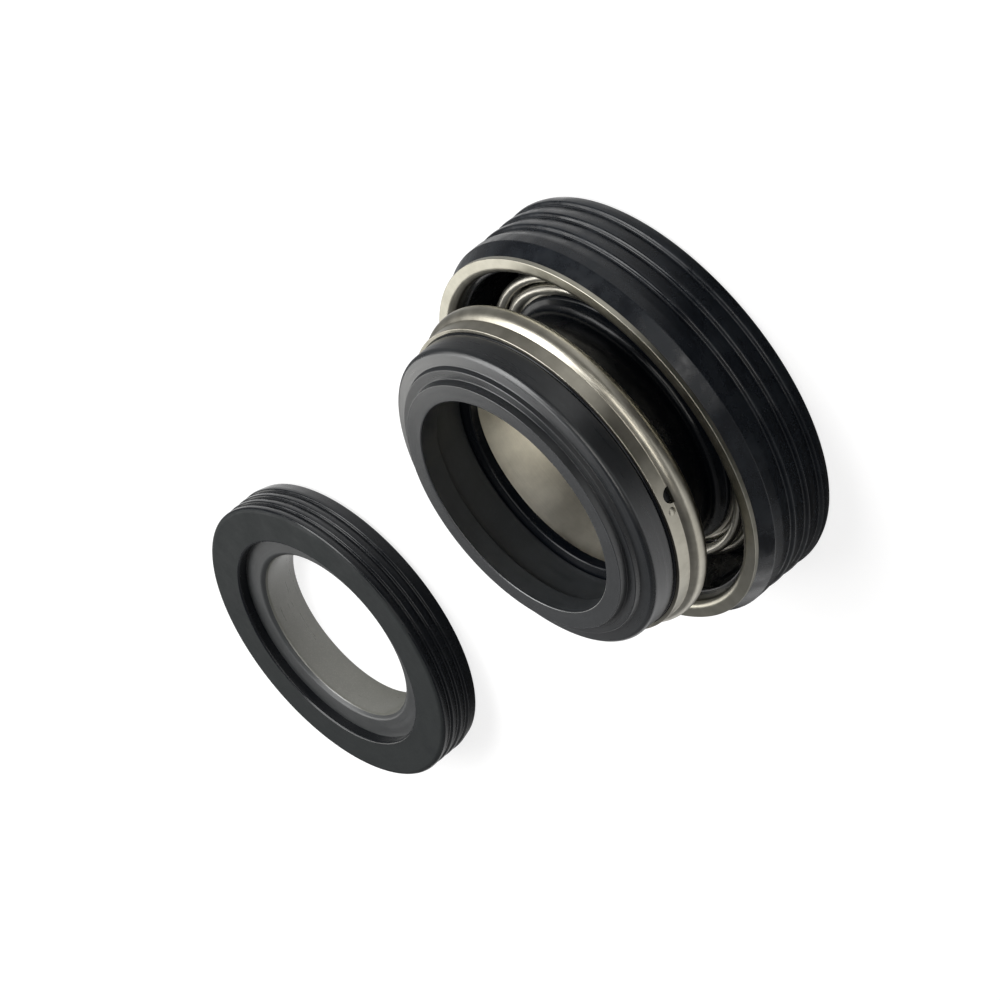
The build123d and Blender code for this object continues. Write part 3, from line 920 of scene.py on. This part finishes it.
class SEAL_OT_seat(bpy.types.Operator):
    """Loose seat: hard ring in a ribbed rubber boot"""

    bl_idname = "seal.seat"
    bl_label = "Seat"

    def execute(self, context):
        s = context.scene.seal_sizes
        low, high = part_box("seat_boot")
        centre = ((low[0] + high[0]) / 2 / MM, (low[1] + high[1]) / 2 / MM)
        # the bore wall is the same hard ring as the back: its smoother, glossier finish is real, and its far
        # lighter colour is painted light
        bore = ground_ceramic("Pressed ceramic, bored wall, painted lighter", "#62625B", "#6C6C65", 0.32, 0.5, 1.2, centre,
                              depth=0.03)
        back = ground_ceramic("Pressed ceramic, ground back", "#2A2C2D", "#383A3B", 0.45, 0.3, 1.6, centre)
        ring_top = s.seat_ring_height
        chamfer = 0.5
        hand_over(turned(
            "hard_seat",
            [
                (s.seat_bore, 0, 0.05),
                (s.seat_ring, 0, 0.2),
                (s.seat_ring, ring_top, 0.2),
                (s.seat_bore + chamfer, ring_top, 0.5),
                (s.seat_bore, ring_top - chamfer, 0.4),
            ],
            [back, bore], centre=centre, paint={4: 1},
        ), "case", "seat_ring")
        black = rubber("Moulded rubber, glossy seat ribs", panel_rubber(), "#14171A", 0.24, 0.45, mottle=0.45,
                       centre=centre)
        # the back face: a real matt finish on the same rubber, in a fixed lighter colour that is painted
        # light on this upward face
        matt = rubber("Moulded rubber, matt seat back, painted lighter", "#202324", "#292C2C", 0.62, 0.22, texture=0.3,
                      centre=centre)
        inset = 0.35  # depth of the grooves, width of the ribs and what is left above the first rib
        foot = 0.4  # the rubber ends this far above the lapped face
        root = s.seat_crest - inset
        hold = s.seat_ring - 1.45
        lip = s.seat_ring - 3.2
        teeth = ribs(s.seat_crest, root, first_land=inset, land=inset, pitch=1.35, count=4,
                     top=s.seat_height - inset, soft=(0.2, 0.5, 0.15))
        hand_over(turned(
            "ribbed_seat_boot",
            [
                (hold, foot, 0),
                (root, foot, 0.3),
                *teeth[::-1],
                (root, s.seat_height, 0.7),
                (lip, s.seat_height, 0.3),
                (lip, ring_top, 0),
                (hold, ring_top, 0),
            ],
            [black, matt], centre=centre, paint={len(teeth) + 2: 1},
        ), "case", "seat_boot")
        return {"FINISHED"}


# Stage

RIGHT = Vector((-0.636, -0.3445, -0.6905))
UP = Vector((0.772, -0.2838, -0.5692))
BACK = Vector((0.0, -0.8951, 0.4462))
CAMERA_PLACE = (0.0018, -1.2343, 0.6424)


def softbox(name, direction, target, distance, size, power, tint=(1, 1, 1)):
    """A rectangular studio lamp that looks at the target from a direction in the room."""
    lamp = bpy.data.lights.new(name, "AREA")
    lamp.shape = "RECTANGLE"
    lamp.size, lamp.size_y = size
    lamp.energy = power
    lamp.color = tint
    light = bpy.data.objects.new(name, lamp)
    bpy.context.scene.collection.objects.link(light)
    place = Vector(target) + Vector(direction).normalized() * distance
    light.location = place
    light.rotation_euler = (Vector(target) - place).to_track_quat("-Z", "Y").to_euler()


class SEAL_OT_stage(bpy.types.Operator):
    """Pale floor, soft studio light and the camera"""

    bl_idname = "seal.stage"
    bl_label = "Studio"

    def execute(self, context):
        scene = context.scene
        scene.view_settings.view_transform = "Standard"
        self.floor(scene)
        self.world(scene)
        self.lamps()
        self.camera(scene)
        return {"FINISHED"}

    def floor(self, scene):
        """White paper with the object's soft shadow. Metal and rubber reflect it bright at the sides and
        dim in a strip along Y, as if black card lay there."""
        mesh = bpy.data.meshes.new("studio_floor")
        size = 6.0
        mesh.from_pydata([(-size, -size, 0), (size, -size, 0), (size, size, 0), (-size, size, 0)], [],
                         [(0, 1, 2, 3)])
        floor = bpy.data.objects.new("studio_floor", mesh)
        floor.location.z = -0.00002
        scene.collection.objects.link(floor)
        material = bpy.data.materials.new("White paper sweep")
        tree = fresh_tree(material)
        path = add(tree, "ShaderNodeLightPath", (-4, 0))
        seen = figure(tree, (-3, 0), "MAXIMUM", (path, "Is Camera Ray"), (path, "Is Transmission Ray"))
        paper = add(tree, "ShaderNodeBsdfDiffuse", (-2, 2), {}, {"Color": tuple(scene.seal_colours.floor)})
        faint = add(tree, "ShaderNodeBsdfDiffuse", (-2, 3), {}, {"Color": (0.3, 0.3, 0.3, 1)})
        glow = add(tree, "ShaderNodeEmission", (-2, 4), {}, {"Strength": 0.8})
        lit = add(tree, "ShaderNodeAddShader", (-1, 3), {}, {0: (faint, 0), 1: (glow, 0)})
        # distance in metres from the strip's middle line, plus what narrows the strip towards the seat
        where = add(tree, "ShaderNodeTexCoord", (-6, 6))
        parts = add(tree, "ShaderNodeSeparateXYZ", (-5, 6), {}, {"Vector": (where, "Object")})
        aside = figure(tree, (-4, 6), "ADD", (parts, "X"), 0.012)
        reach = figure(tree, (-3, 6), "ABSOLUTE", (aside, 0))
        past = figure(tree, (-4, 8), "SUBTRACT", (parts, "Y"), 0.06)
        beyond = figure(tree, (-3, 8), "MAXIMUM", (past, 0), 0.0)
        strip = figure(tree, (-3, 7), "MULTIPLY_ADD", (beyond, 0), 0.4, (reach, 0))
        level = mapped(tree, (-2, 6), (strip, 0), (0.016, 0.046), 0.05, 1.0, "SMOOTHSTEP")
        # the paper dims again on the +X side, the left of the picture
        far = mapped(tree, (-2, 8), (parts, "X"), (0.024, 0.048), 1.0, 0.25, "SMOOTHSTEP")
        both = figure(tree, (-2, 7), "MULTIPLY", (level, 0), (far, 0))
        gleam = add(tree, "ShaderNodeEmission", (-1, 6), {}, {"Strength": (both, 0)})
        gloss = add(tree, "ShaderNodeMixShader", (0, 3), {},
                    {0: (path, "Is Glossy Ray"), 1: (paper, 0), 2: (gleam, 0)})
        mix = add(tree, "ShaderNodeMixShader", (0, 1), {}, {0: (seen, 0), 1: (gloss, 0), 2: (lit, 0)})
        add(tree, "ShaderNodeOutputMaterial", (1, 1), {}, {"Surface": (mix, 0)})
        mesh.materials.append(material)

    def world(self, scene):
        """A grey room, lightest 25 degrees up and darker at the floor and overhead, so that black rubber
        stays black and steel has contrast."""
        world = bpy.data.worlds.new("Studio room")
        scene.world = world
        tree = fresh_tree(world)
        where = add(tree, "ShaderNodeTexCoord", (-4, 0))
        parts = add(tree, "ShaderNodeSeparateXYZ", (-3, 0), {}, {"Vector": (where, "Generated")})
        tone = ramp(tree, (-2, 0), (parts, "Z"), (0.0, (0.2, 0.2, 0.21, 1)), (0.42, (0.45, 0.45, 0.45, 1)),
                    (0.68, (0.16, 0.16, 0.17, 1)))
        room = add(tree, "ShaderNodeBackground", (0, 0), {}, {"Color": (tone, 0), "Strength": 0.6})
        add(tree, "ShaderNodeOutputWorld", (2, 0), {}, {"Surface": (room, 0)})

    def lamps(self):
        """Two large lamps high on the +X side, one of them to the back, a strip beside the camera, a long
        low strip in front, and two small lamps near the head."""
        head = (0, 0, 0.012)
        beside_camera = -RIGHT * 0.2 - UP * 0.35 + BACK * 0.9
        softbox("key_softbox", (0.7, -0.1, 0.75), head, 0.55, (0.36, 0.36), 2.2)
        softbox("strip_softbox", beside_camera, head, 0.6, (0.5, 0.12), 0.8, (1, 0.97, 0.92))
        softbox("front_strip", (0.1, -0.9, 0.42), head, 0.8, (0.8, 0.07), 0.45, (1, 0.99, 0.97))
        softbox("near_softbox", (0.85, 0.35, 0.75), (0, 0, 0.02), 0.16, (0.08, 0.08), 0.025, (1, 0.98, 0.94))
        softbox("back_softbox", (0.25, 0.86, 0.42), head, 0.3, (0.1, 0.15), 0.085, (1, 0.99, 0.95))
        softbox("top_softbox", (0.4, 0.42, 0.85), (0, 0.04, 0.01), 0.7, (0.42, 0.42), 2.2)

    def camera(self, scene):
        """Long lens at the photograph's angle: 26.5 degrees above the floor and rolled."""
        lens = bpy.data.cameras.new("long_lens")
        lens.lens = 432
        lens.sensor_width = 36
        lens.clip_end = 20
        camera = bpy.data.objects.new("long_lens", lens)
        scene.collection.objects.link(camera)
        turn = Matrix((RIGHT, UP, BACK)).transposed()
        camera.matrix_world = Matrix.Translation(CAMERA_PLACE) @ turn.to_4x4()
        scene.camera = camera


# Panel and registration

class SEAL_PT_panel(bpy.types.Panel):
    """Lists the pieces of the seal and their sizes"""

    bl_idname = "SEAL_PT_panel"
    bl_label = "Shaft seal"
    bl_space_type = "VIEW_3D"
    bl_region_type = "UI"
    bl_category = "Shaft seal"

    def draw(self, context):
        for operator in STEPS:
            self.layout.operator(operator.bl_idname)
        for group in (context.scene.seal_sizes, context.scene.seal_colours):
            for name in group.__annotations__:
                self.layout.prop(group, name)


STEPS = (SEAL_OT_stage, SEAL_OT_case, SEAL_OT_spring, SEAL_OT_bellows, SEAL_OT_nose, SEAL_OT_seat)
CLASSES = (SealSizes, SealColours, *STEPS, SEAL_PT_panel)


def register():
    for cls in CLASSES:
        bpy.utils.register_class(cls)
    bpy.types.Scene.seal_sizes = PointerProperty(type=SealSizes)
    bpy.types.Scene.seal_colours = PointerProperty(type=SealColours)


def unregister():
    del bpy.types.Scene.seal_colours
    del bpy.types.Scene.seal_sizes
    for cls in reversed(CLASSES):
        bpy.utils.unregister_class(cls)


def main():
    """Builds the studio and every piece in order."""
    register()
    bpy.ops.seal.stage()
    bpy.ops.seal.case()
    bpy.ops.seal.spring()
    bpy.ops.seal.bellows()
    bpy.ops.seal.nose()
    bpy.ops.seal.seat()


if __name__ == "__main__":
    main()
